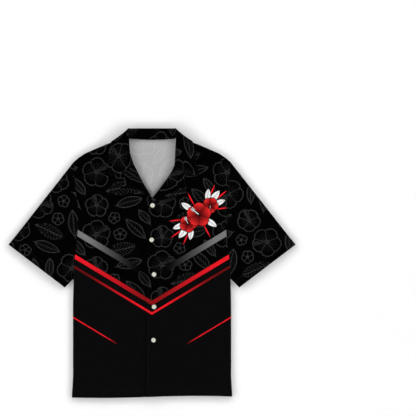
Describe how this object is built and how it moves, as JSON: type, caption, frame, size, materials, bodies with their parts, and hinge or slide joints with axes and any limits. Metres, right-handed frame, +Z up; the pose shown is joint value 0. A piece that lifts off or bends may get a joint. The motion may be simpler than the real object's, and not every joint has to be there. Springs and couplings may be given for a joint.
{
  "type": "hawaiian shirt",
  "caption": "Short-sleeved Hawaiian shirt with a camp collar and turned-out lapels, buttoned down the front and laid flat, face up.",
  "frame": {"origin": "on the surface that the shirt lies on, at the middle of its outline", "axes": "+Y from the hem to the collar, +X to the wearer's left, +Z up out of the surface, away from the back"},
  "size_m": [0.8176, 0.769, 0.0128],
  "materials": {
    "body_cloth": "soft printed plain weave, matte",
    "sleeve_cloth": "soft printed plain weave, matte",
    "collar_cloth": "soft printed plain weave over interlining, matte",
    "button": "polished cream resin"
  },
  "bodies": {
    "root": {"back": "body_cloth", "front_left": "body_cloth", "front_right": "body_cloth", "sleeve_left": "sleeve_cloth", "sleeve_right": "sleeve_cloth", "collar": "collar_cloth", "lapel_left": "collar_cloth", "lapel_right": "collar_cloth", "button_1": "button", "button_2": "button", "button_3": "button", "button_4": "button", "button_5": "button"}
  },
  "joints": []
}
